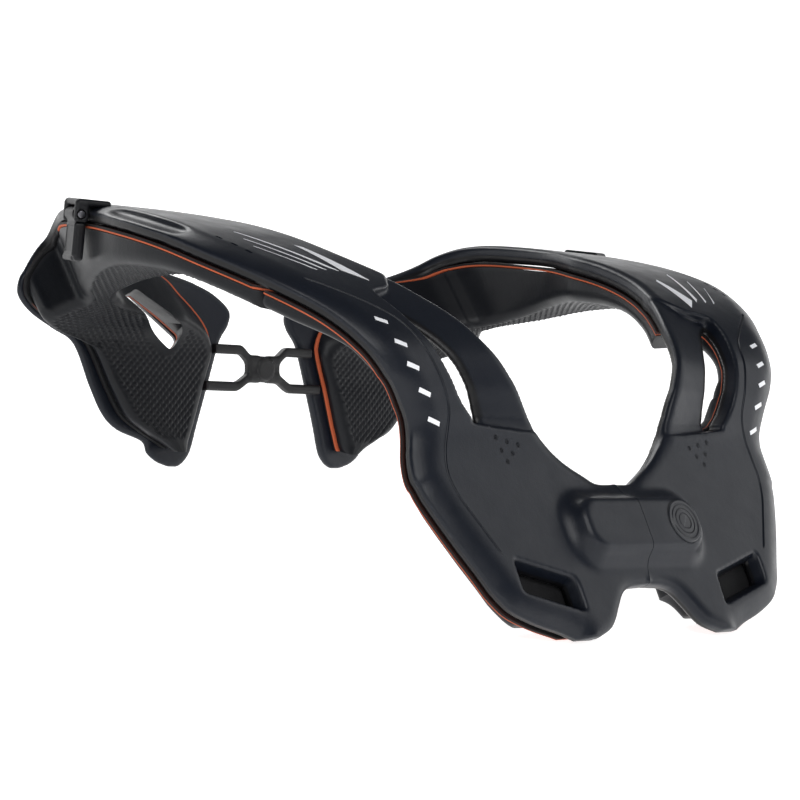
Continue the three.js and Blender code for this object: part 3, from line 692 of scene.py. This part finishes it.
def split_at(x):
    """Where the slanting cut between front and back layers crosses x."""
    slope = (SPLIT_FAR - SPLIT_NEAR) * LENGTH / (0.8 * HALF_WIDTH)
    return SPLIT_NEAR * LENGTH + (x - 0.30 * HALF_WIDTH) * slope


print("the wing pads start at", round(WING_FROM, 1), "mm along the sheet")

# %% [markdown]
# A cushion is built from rings of the same number of points. Each point of a ring has a place across
# the cushion, on the inner wall, face, outer wall or top, and a share of the thickness. The cut
# between front and back slants, so the rings near it slant more and more.

# %% Cushion maker
WALL_STEPS = 9
TURN_STEPS = 6


def cushion(s_from, s_to, layer, front, depth_at, corner, face_points, relief=None, rows=None):
    """Places x, s and down of a closed cushion below the shell. depth_at(s) is its thickness and
    relief(x, s, inner, outer) lifts its face."""
    nominal = np.linspace(s_from, s_to, rows)
    reach = (nominal - s_from) / (s_to - s_from)
    pull = (reach if front else 1 - reach)**3
    inner, outer = layer_edges(nominal, layer, front)
    anchor = split_at((inner[-1] + outer[-1]) / 2 if front else (inner[0] + outer[0]) / 2)
    turn = np.linspace(0, math.pi / 2, TURN_STEPS + 2)[1:-1]
    walls = np.linspace(0, 1, WALL_STEPS)
    soft = np.minimum(corner, 0.32 * (outer - inner))
    width = outer - inner
    ring = [("in", 0.0, "wall", w) for w in walls]
    ring += [("in", 1 - math.cos(a), "bend", math.sin(a)) for a in turn]
    ring += [("face", t, "bend", 1.0) for t in np.linspace(0, 1, face_points)]
    ring += [("out", 1 - math.cos(a), "bend", math.sin(a)) for a in turn[::-1]]
    ring += [("out", 0.0, "wall", w) for w in walls[::-1]]
    ring += [("top", t, "wall", 0.0) for t in np.linspace(0, 1, 7)[1:-1][::-1]]
    columns = []
    for place, u, kind, w in ring:
        x = {"in": inner + soft * u, "out": outer - soft * u, "top": inner + width * u,
             "face": inner + soft + (width - 2 * soft) * u}[place]
        s = nominal + pull * (split_at(x) - anchor)
        edge_in, edge_out = layer_edges(s, layer, front)
        share = np.clip((x - inner) / width, 0, 1)
        x = x + (edge_in - inner) * (1 - share) + (edge_out - outer) * share
        depth = depth_at(s)
        bevel = np.minimum(soft, depth * 0.7)
        down = (depth - bevel) * w if kind == "wall" else depth - bevel + bevel * w
        if relief is not None and place == "face":
            down = down + relief(x, s, edge_in, edge_out)
        columns.append((x, s, down))
    return [np.stack([column[i] for column in columns], 1) for i in range(3)]


def liner_top(s):
    """The height of the orange layer's top, just under the frame's lip."""
    return -lip_at(s) - LAYER_GAP


print("points round a cushion's walls and top:", 2 * (WALL_STEPS + TURN_STEPS) + 5)

# %% [markdown]
# The faces of the real pads carry a fine diamond knurl inside a smooth border, and a smooth ring round
# the strap slot. A bump in the finish would leave the foam's outline smooth, so a pyramid pattern is
# drawn in flat places and lifts the mesh itself. The foam also swells a little towards the middle.

# %% Pad relief
KNURL_PITCH = 3.3
KNURL_HEIGHT = 0.9
KNURL_BORDER = 4.5
KNURL_START, KNURL_END = 150, 386
PAD_SWELL = 0.9


def knurl(x, s):
    """Rows of small pyramids, 0 in the valleys and 1 on the tips."""
    a = np.abs(((x + s) / KNURL_PITCH) % 1 - 0.5)
    b = np.abs(((x - s) / KNURL_PITCH) % 1 - 0.5)
    return 1 - 2 * np.maximum(a, b)


face_line = pad_curve[:, 1:] + (SHIFT_BACK, SHIFT_UP)
face_run = run_length(face_line)
sheet_line = sheet + (SHIFT_BACK, SHIFT_UP)
face_true = [sheet_run[np.argmin(np.hypot(*(sheet_line - point).T))] for point in face_line]


def face_relief(x, s, edge_in, edge_out):
    """What stands up from a back pad's face."""
    true_s = np.interp(s, pad_curve[:, 0], face_true)
    along = np.interp(s, pad_curve[:, 0], face_run)
    from_edge = np.minimum(x - edge_in, edge_out - x)
    swell = PAD_SWELL * np.clip(from_edge / 18, 0, 1)
    inside = ease(from_edge, KNURL_BORDER, KNURL_BORDER + 0.9)
    inside = inside * ease(s, KNURL_START, KNURL_START + 6) * (1 - ease(s, KNURL_END, KNURL_END + 2))
    slot_gap = region(wing_outline, x, true_s)
    inside = inside * ease(slot_gap, 2.6, 3.4)
    return swell + inside * (KNURL_HEIGHT * knurl(x, along) - 0.55)


def pad_top(s):
    """The height of a pad's top, under the orange layer."""
    return liner_top(s) - LINER - LAYER_GAP


def pad_face(s):
    """Where the back pad's own inner curve is, seen from the side."""
    return (np.interp(s, pad_curve[:, 0], pad_curve[:, 1]) + SHIFT_BACK,
            np.interp(s, pad_curve[:, 0], pad_curve[:, 2]) + SHIFT_UP)


def pad_down(x, s, down):
    """Room place of a back pad point: down runs from the roof to the pad's own inner curve."""
    roof = bend(x, s, pad_top(s))
    face = np.stack([x, *pad_face(s)], -1) / 1000
    way = face - roof
    length = np.linalg.norm(way, axis=-1)
    return roof + way / length[..., None] * down[..., None] / 1000


def back_depth(s):
    """How thick the back pad is at s."""
    probe = np.zeros_like(s)
    roof = pad_down(probe, s, probe)
    face_y, face_z = pad_face(s)
    depth = np.hypot(face_y / 1000 - roof[..., 1], face_z / 1000 - roof[..., 2]) * 1000
    return np.maximum(depth, 2.0)


def slot_cutter(outline, high, low):
    """A closed cutter through every layer along the sheet's own direction."""
    rings = []
    for height in (high, low):
        flat = outline + np.array(WING_SLANT) * (height - SLANT_FROM)
        rings.append(bend(flat[:, 0], flat[:, 1], np.full(len(outline), height)))
    return np.vstack(rings), ring_faces(2, len(outline))


print("knurl: pyramids", KNURL_PITCH, "mm apart")

# %% [markdown]
# The same maker builds all four cushions of one side. The chest pad swells a little and thins towards
# the shoulder, and the orange layers are even. The strap slot is cut through the back ones together.

# %% Make the cushions
CHEST_SWELL = 0.8
CHEST_TAPER = 0.4


def chest_relief(x, s, edge_in, edge_out):
    """The swell of a chest pad's face."""
    return CHEST_SWELL * np.clip(np.minimum(x - edge_in, edge_out - x) / 10, 0, 1)


def chest_depth(s):
    """How thick the chest pad is at s."""
    return FRONT_PAD * (1 - CHEST_TAPER * ease(s, 0.24 * LENGTH, 0.34 * LENGTH))


def liner_depth(s):
    """The orange layer is even."""
    return LINER + 0 * s


split_start = split_at(0.5 * (0.41 + 0.86) * HALF_WIDTH)
front_end, back_start = split_start - 0.5, split_start + 0.5
BACK_END = 0.98 * LENGTH
PAINTED_SHADE_DEPTH = 0.55 * LINER
xs, ss, downs = cushion(back_start, BACK_END, "pad", False, back_depth, 5.0, 84, face_relief, rows=430)
back_pad = pad_down(xs, ss, downs).reshape(-1, 3), ring_faces(*xs.shape)
xs, ss, downs = cushion(0.032 * LENGTH, front_end, "pad", True, chest_depth, 4.0, 30, chest_relief,
                        rows=150)
front_pad = bend(xs, ss, pad_top(ss) - downs).reshape(-1, 3), ring_faces(*xs.shape)
xs, ss, downs = cushion(0.012 * LENGTH, front_end, "liner", True, liner_depth, 0.6, 16, rows=200)
front_liner = bend(xs, ss, liner_top(ss) - downs).reshape(-1, 3), ring_faces(*xs.shape)
# Painted shade: the top of the orange layer, down to the set depth, is flagged -1 and painted black, as
# the shade in the gap under the shell's rim.
front_liner_shade = np.where(downs > PAINTED_SHADE_DEPTH, 0.0, -1.0).ravel()
xs, ss, downs = cushion(back_start, BACK_END, "liner", False, liner_depth, 0.6, 16, rows=320)
back_liner = bend(xs, ss, liner_top(ss) - downs).reshape(-1, 3), ring_faces(*xs.shape)
# Painted shade: along the wing's outer edge the whole orange layer is flagged and painted black, as shade
# under the rim.
shaded_wing_edge = (ss > WING_FROM - 8) & (xs > edge_at(wing_outer, ss) - 3)
back_liner_shade = np.where((downs > PAINTED_SHADE_DEPTH) & ~shaded_wing_edge, 0.0, -1.0).ravel()
layers = [("front_liner", "orange_layer_front", front_liner, liner_finish, "liner", False, front_liner_shade),
          ("back_liner", "orange_layer_back", back_liner, liner_finish, "liner", True, back_liner_shade),
          ("front_pad", "chest_pad", front_pad, pad_finish, "pad", False, None),
          ("back_pad", "shoulder_pad", back_pad, pad_finish, "pad", True, None)]
through = slot_cutter(wing_outline, 20, -32)
for side in SIDES:
    # The painted-shade flags ride in the height attribute, which the orange finish turns black.
    for node, label, (points, faces), material, slot, has_slot, shade_flags in layers:
        piece = new_object(label + "_" + side, new_mesh(label, mirror(points, side), faces, shade_flags))
        if has_slot:
            carve(piece, new_mesh("slot", mirror(through[0], side), through[1]))
        settle(piece, material, node + "_" + side, sharp=60)
print("back pad faces:", len(back_pad[1]))

# %% [markdown]
# ## The strap clips
# On each back arm a clip holds the harness strap: a flange reaches over the rim, two ears carry a steel
# pin, and a lever swings out on it. The clip has its own straight axes at the rim, out, along and
# up, and its rounded parts are fields drawn in those axes on a fine grid.

# %% Clip axes
CLIP_SHARE = 0.62


def edge_place(share):
    """The room place on the outer edge at a share of the sheet's length."""
    return bend(edge_at(outer_line, share * LENGTH), share * LENGTH, 0.0)


clip_along = edge_place(0.64) - edge_place(0.60)
clip_along /= np.linalg.norm(clip_along)
clip_normal = (bend(0.0, CLIP_SHARE * LENGTH, 1.0) - bend(0.0, CLIP_SHARE * LENGTH, 0.0)) * 1000
clip_out = np.cross(clip_along, clip_normal)
clip_out /= np.linalg.norm(clip_out)
clip_up = np.cross(clip_out, clip_along)
clip_place = edge_place(CLIP_SHARE)
PIN_OUT, PIN_DOWN, PIN_HOLE = 3.1, -4.7, 1.75
LEVER_WIDTH, LEVER_HEIGHT, EAR = 10.4, 17.0, 2.5


def clip_to_room(points):
    """From the clip's own axes, in mm, to the room, in metres."""
    return clip_place + (points[:, :1] * clip_out + points[:, 1:2] * clip_along
                         + points[:, 2:] * clip_up) / 1000


def slab(p, low, high, radius):
    """A box with rounded edges, as a field."""
    centre, half = (np.array(low) + high) / 2, (np.array(high) - low) / 2
    q = [np.abs(p[i] - centre[i]) - half[i] + radius for i in range(3)]
    outside = np.sqrt(sum(np.maximum(a, 0)**2 for a in q))
    return outside + np.minimum(np.maximum(np.maximum(q[0], q[1]), q[2]), 0) - radius


def rod(p, centre, radius, low, high, axis):
    """A round rod along one axis, as a field."""
    others = [i for i in range(3) if i != axis]
    around = np.sqrt(sum((p[i] - centre[i])**2 for i in others)) - radius
    return keep(around, np.maximum(low - p[axis], p[axis] - high), 0.5)


print("the clip's middle, mm:", np.round(clip_place * 1000, 1).tolist())

# %% [markdown]
# The flange and ears are rounded slabs joined with small fillets, with a round hole through the ears.
# The lever is a broad plank on a neck round the pin, with a raised strip along its front edge, a
# folded foot and a shallow panel in its face.

# %% Clip base and lever
CLIP_STEP = 0.3
clip_axes = [np.arange(-10, 9, CLIP_STEP), np.arange(-10, 10.1, CLIP_STEP),
             np.arange(-25, 4, CLIP_STEP)]
P = np.meshgrid(*clip_axes, indexing="ij")
half = LEVER_WIDTH / 2
pin_centre = (PIN_OUT, 0, PIN_DOWN)
flange = slab(P, (-8, -half - EAR, -1.6), (5.2, half + EAR, 1.0), 1.2)
flange = cut(flange, slab(P, (-6.4, -half - 0.4, 0.55), (1.2, half + 0.4, 3), 0.5), 0.4)
base = flange
for low in (-half - EAR, half):
    ear = slab(P, (0.3, low, PIN_DOWN - 2.9), (5.6, low + EAR, 0.2), 1.1)
    base = join(base, ear, 0.8)
base = cut(base, rod(P, pin_centre, PIN_HOLE, -20, 20, 1), 0.3)
lever_half = half - 0.1
tip = PIN_DOWN - LEVER_HEIGHT
plank = slab(P, (0.6, -lever_half - 1.9, tip), (4.2, lever_half + 1.9, PIN_DOWN - 2.9), 1.3)
neck = slab(P, (0.6, -lever_half, PIN_DOWN - 6), (4.4, lever_half, PIN_DOWN + 2.2), 1.0)
lever = join(join(plank, neck, 0.8), rod(P, pin_centre, 2.7, -lever_half, lever_half, 1), 0.8)
strip = slab(P, (2.6, -lever_half - 1.8, tip + 1.5), (5.1, -lever_half + 0.4, PIN_DOWN - 3.2), 0.8)
lever = join(lever, strip, 0.3)
foot = slab(P, (0.6, -lever_half + 0.4, tip), (4.6, lever_half + 1.2, tip + 1.8), 0.8)
lever = join(lever, foot, 1.0)
panel = slab(P, (3.8, -lever_half + 1.4, tip + 2.8), (5, lever_half + 0.9, PIN_DOWN - 4.2), 0.5)
lever = cut(lever, panel, 0.3)
lever = cut(lever, rod(P, pin_centre, PIN_HOLE, -20, 20, 1), 0.2)
clip_parts = {"base": field_mesh(base, clip_axes), "lever": field_mesh(lever, clip_axes)}
print({part: len(faces) for part, (points, faces) in clip_parts.items()})

# %% [markdown]
# Both sides take the same parts, mirrored. The pin is turned with small rounded heads. The lever rides
# on its own body, so that it swings out, and the base and the pin stay on the frame.

# %% Clips on both sides
PIN_HALF = half + EAR
pin_profile = [(0.9, -PIN_HALF), (1.3, -PIN_HALF + 0.15), (1.5, -PIN_HALF + 0.5), (1.5, PIN_HALF - 0.5),
               (1.3, PIN_HALF - 0.15), (0.9, PIN_HALF), (0.7, PIN_HALF - 0.5)]
pin_room = clip_to_room(np.array([pin_centre], float))[0]
pin_points, pin_faces = turned(pin_profile, pin_room, clip_along, clip_up, sides=40)
for side in SIDES:
    for part, (points, faces) in clip_parts.items():
        part_mesh = new_mesh("clip " + part, mirror(clip_to_room(points), side), faces)
        piece = new_object(f"clip_{part}_{side}_part", part_mesh)
        body_name = "frame" if part == "base" else "lever_" + side
        settle(piece, clip_finish, f"clip_{part}_{side}", body_name, sharp=50)
    pin = new_object("pin_" + side, new_mesh("clip pin", mirror(pin_points, side), pin_faces))
    settle(pin, pin_finish, "clip_pin_" + side, sharp=40)
print("pin length, mm:", round(2 * PIN_HALF, 1))

# %% [markdown]
# ## The release button
# A round cap sits in the +X end of the latch block. It is a turned piece: a rolled rim, a shallow
# groove and plain raised rings. One profile line, spun round, holds all of them.

# %% Button
BUTTON_TOP = 7.4
button_profile = [(8.2, 0.9), (8.6, 1.3), (8.6, 6.7), (8.45, 7.1), (8.1, BUTTON_TOP), (7.3, BUTTON_TOP),
                  (7.05, 7.1), (6.7, 7.05), (6.4, 7.3), (5.3, 7.35), (5.1, 7.05), (4.9, 7.02),
                  (4.7, 7.3), (3.4, 7.4), (3.2, 7.1), (3.0, 7.1), (2.8, 7.35), (0.6, 7.45)]
button_points, button_faces = turned(button_profile, button_place, button_out, button_up)
button = new_object("button_cap", new_mesh("release button", button_points, button_faces))
settle(button, button_finish, "release_button", "button", sharp=35)
print("button faces:", len(button_faces))

# %% [markdown]
# ## The rubber coupling
# Four rounded rubber bars leave the wings' edges, bend towards each other and meet at a middle block
# with a disc. It is one soft moulding, so it is one field on its own flat axes.

# %% Coupling
COUPLING_S = 0.896 * LENGTH
SPREAD, CORE, BAR = 7.7, 5.5, 4.0
SHEET_THICK = 3.0
BAR_THICK = 4.0
coupling_low = -SHEET_THICK - 0.3 - BAR_THICK
coupling_place = bend(0.0, COUPLING_S, coupling_low)
coupling_out = (bend(0.0, COUPLING_S, coupling_low + 1) - coupling_place) * 1000
coupling_up = np.cross(coupling_out, (1.0, 0, 0))
coupling_axes = [np.arange(-36, 36.3, 0.4), np.arange(-12, 12.3, 0.4), np.arange(-2, 7, 0.4)]
P = np.meshgrid(*coupling_axes, indexing="ij")
coupling = slab(P, (-CORE - 3.5, -CORE, 0), (CORE + 3.5, CORE, 4), 1.4)
for sy in (1, -1):
    reach = float(edge_at(inner_line, COUPLING_S + sy * SPREAD)) + 4.0
    far = np.abs(P[0])
    middle = (CORE - BAR / 2) + (SPREAD - CORE + BAR / 2) * ease(far, CORE + 1, reach * 0.5)
    q1 = np.abs(P[1] * sy - middle) - BAR / 2 + 1.2
    q2 = np.abs(P[2] - 2) - 2 + 1.2
    bar = np.hypot(np.maximum(q1, 0), np.maximum(q2, 0)) + np.minimum(np.maximum(q1, q2), 0) - 1.2
    coupling = join(coupling, keep(bar, np.maximum(far - reach, 3 - far), 0.6), 1.2)
coupling = join(coupling, rod(P, (0, 0, 0), 4.6, -1.0, 5.0, 2), 0.8)
coupling = cut(coupling, rod(P, (0, 0, 0), 3.4, 4.4, 9, 2), 0.4)
coupling = join(coupling, rod(P, (0, 0, 0), 1.6, 2, 5.0, 2), 0.5)
points, faces = field_mesh(coupling, coupling_axes)
room = coupling_place + (points[:, :1] * np.array([1.0, 0, 0]) + points[:, 1:2] * coupling_up
                         + points[:, 2:] * coupling_out) / 1000
band = new_object("coupling", new_mesh("rear coupling", room, faces))
settle(band, rubber_finish, "rear_coupling", sharp=50)
print("coupling faces:", len(faces))

# %% [markdown]
# ## Floor, light and camera
# The photograph was taken on a white ground under soft light. A pale floor and a bright surround give
# the same ground, and three soft boxes draw the long highlights on the rolled rims. The camera stands
# low in front, on the wearer's right, where the photographer stood.

# %% Floor and light
GROUND_RADIUS = 8.0
WALL_HEIGHT = 1.9
RING_SIDES = 95
turn = np.linspace(0, 2 * math.pi, RING_SIDES + 1)[:-1]
ring = [(math.cos(t) * GROUND_RADIUS, math.sin(t) * GROUND_RADIUS) for t in turn]
ground_mesh, wall_mesh = bpy.data.meshes.new("ground"), bpy.data.meshes.new("wall")
ground_mesh.from_pydata([(x, y, 0) for x, y in ring], [], [list(range(len(ring)))])
wall_mesh.from_pydata([(x, y, z) for z in (0, WALL_HEIGHT) for x, y in ring], [],
                      [(i, (i + 1) % RING_SIDES, RING_SIDES + (i + 1) % RING_SIDES, RING_SIDES + i)
                       for i in range(RING_SIDES)])
ground, wall = new_object("ground", ground_mesh), new_object("wall", wall_mesh)
for thing, glow in ((ground, 0.86), (wall, 1.05)):
    paper = finish("paper " + thing.name, (0.80, 0.80, 0.80), 0.7, 0.01, 4.0, 0.0, vary=0.01)
    shader = paper.node_tree.nodes["Principled BSDF"]
    shader.inputs["Emission Color"].default_value = (1, 1, 1, 1)
    shader.inputs["Emission Strength"].default_value = glow
    thing.data.materials.append(paper)


def soft_box(name, place, target, size, power):
    """A square soft lamp that points at the target."""
    lamp = bpy.data.lights.new(name, "AREA")
    lamp.shape, lamp.size, lamp.energy = "SQUARE", size, power
    thing = bpy.data.objects.new(name, lamp)
    thing.location = place
    thing.rotation_euler = (Vector(target) - Vector(place)).to_track_quat("-Z", "Y").to_euler()
    bpy.context.scene.collection.objects.link(thing)


TARGET = (0, 0, 0.05)
soft_box("key", (-0.5, -0.9, 1.1), TARGET, 0.8, 9)
soft_box("fill", (1.1, -0.5, 0.7), TARGET, 0.9, 3)
soft_box("back", (0.2, 1.2, 0.9), TARGET, 0.7, 8)
world = bpy.data.worlds.new("surround")
bpy.context.scene.world = world
world.use_nodes = True
world.node_tree.nodes["Background"].inputs["Color"].default_value = (0.93, 0.96, 1, 1)
world.node_tree.nodes["Background"].inputs["Strength"].default_value = 0.10
bpy.context.scene.view_settings.view_transform = "Standard"
print("lamps:", len(bpy.data.lights))

# %% [markdown]
# The camera's place and lens were found by matching the brace's own corners to the photograph. Its
# look and right directions are written out, because they also hold its slight roll.

# %% Camera
lens = bpy.data.cameras.new("camera")
lens.lens, lens.sensor_width = 117.0, 36.0
lens.clip_start, lens.clip_end = 0.05, 50.0
camera = bpy.data.objects.new("camera", lens)
bpy.context.scene.collection.objects.link(camera)
look, right = Vector((0.7200, 0.6754, -0.1594)), Vector((0.6934, -0.6916, 0.2022))
rise = right.cross(look)
camera.matrix_world = Matrix.Translation((-0.7456, -0.67104, 0.21581)) @ Matrix(
    (right, rise, -look)).transposed().to_4x4()
bpy.context.scene.camera = camera
print("lens, mm:", lens.lens)
